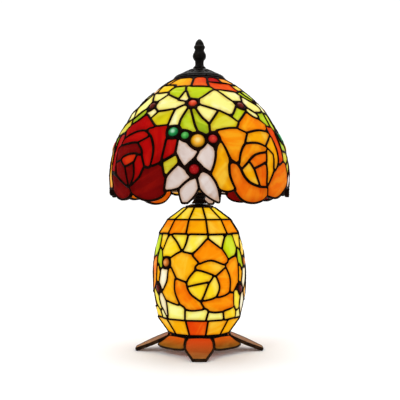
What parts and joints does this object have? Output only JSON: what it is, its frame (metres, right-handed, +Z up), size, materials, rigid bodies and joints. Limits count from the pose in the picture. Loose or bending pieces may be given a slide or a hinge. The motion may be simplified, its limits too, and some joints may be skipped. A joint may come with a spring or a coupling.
{
  "type": "table lamp",
  "caption": "Stained glass table lamp: leaded dome shade on a harp over a leaded barrel-shaped glass body standing on glass petals.",
  "frame": {"origin": "on the table under the lamp's axis", "axes": "+Z up along the axis, front towards -Y, +X to the viewer's right"},
  "size_m": [0.2052, 0.2052, 0.3551],
  "materials": {
    "dark_lead": "dark patina",
    "dark_bronze": "dark bronze patina",
    "brass": "satin",
    "zinc_steel": "zinc plated",
    "black_phenolic": "moulded",
    "opal_bulb_glass": "opal",
    "orange_glass": "streaky opalescent",
    "amber_glass": "streaky opalescent",
    "cream_glass": "streaky opalescent",
    "red_glass": "streaky opalescent",
    "white_glass": "streaky opalescent",
    "brown_glass": "streaky opalescent"
  },
  "bodies": {
    "lamp": {"body_cames": "dark_lead", "shoulder_came": "dark_lead", "body_cap": "dark_bronze", "neck": "dark_bronze", "base_ring": "brass", "harp": "brass", "harp_stud": "brass", "saddle": "brass", "socket_cup": "brass", "socket_shell": "brass", "base_plate": "zinc_steel", "bottom_nut": "zinc_steel", "bottom_washer": "zinc_steel", "bracket_nut": "zinc_steel", "centre_rod": "zinc_steel", "lamp_bracket": "zinc_steel", "cord_bush": "black_phenolic", "lower_lamp_holder": "black_phenolic", "shoulder_glass": "amber_glass", "foot_glass": "amber_glass", "collar_glass": "orange_glass", "body_rose_glass_1": "cream_glass", "body_rose_glass_2": "cream_glass", "body_rose_glass_3": "cream_glass", "long_petal_front": "brown_glass", "long_petal_right": "brown_glass", "long_petal_back": "brown_glass", "long_petal_left": "brown_glass", "short_petal_1": "brown_glass", "short_petal_2": "brown_glass", "short_petal_3": "brown_glass", "short_petal_4": "brown_glass"},
    "rest": {"shade_rest": "brass"},
    "shade": {"shade_cames": "dark_lead", "shade_cap": "dark_bronze", "shade_rose_glass_1": "orange_glass", "shade_rose_glass_3": "orange_glass", "shade_rose_glass_2": "red_glass", "shade_rose_glass_4": "red_glass", "shade_daisy_glass_1": "cream_glass", "shade_daisy_glass_2": "cream_glass", "shade_daisy_glass_3": "cream_glass", "shade_daisy_glass_4": "cream_glass", "shade_flower_glass_1": "white_glass", "shade_flower_glass_2": "white_glass", "shade_flower_glass_3": "white_glass", "shade_flower_glass_4": "white_glass", "crown_glass": "orange_glass", "crown_ring": "brass"},
    "finial": {"finial": "dark_bronze", "finial_washer": "brass"},
    "sleeve_left": {"harp_sleeve_left": "brass"},
    "sleeve_right": {"harp_sleeve_right": "brass"},
    "knob": {"switch_knob": "black_phenolic"},
    "upper_bulb": {"upper_bulb_cap": "brass", "upper_bulb_glass": "opal_bulb_glass"},
    "lower_bulb": {"lower_bulb_cap": "brass", "lower_bulb_glass": "opal_bulb_glass"}
  },
  "joints": [
    {"name": "shade_lift", "type": "slide", "parent": "lamp", "child": "rest", "axis": [0, 0, 1], "range_m": [0, 0.15]},
    {"name": "shade_turn", "type": "hinge", "parent": "rest", "child": "shade", "pos_m": [0, 0, 0.318], "axis": [0, 0, 1], "continuous": true},
    {"name": "finial_turn", "type": "hinge", "parent": "rest", "child": "finial", "pos_m": [0, 0, 0.322], "axis": [0, 0, 1], "continuous": true},
    {"name": "sleeve_left_slide", "type": "slide", "parent": "lamp", "child": "sleeve_left", "axis": [0, 0, 1], "range_m": [0, 0.01]},
    {"name": "sleeve_right_slide", "type": "slide", "parent": "lamp", "child": "sleeve_right", "axis": [0, 0, 1], "range_m": [0, 0.01]},
    {"name": "knob_turn", "type": "hinge", "parent": "lamp", "child": "knob", "pos_m": [0, 0.028, 0.1989], "axis": [0, 1, 0], "continuous": true},
    {"name": "upper_bulb_turn", "type": "hinge", "parent": "lamp", "child": "upper_bulb", "pos_m": [0, 0, 0.22], "axis": [0, 0, 1], "continuous": true},
    {"name": "lower_bulb_turn", "type": "hinge", "parent": "lamp", "child": "lower_bulb", "pos_m": [0, 0.022, 0.08], "axis": [0, 0, 1], "continuous": true}
  ]
}
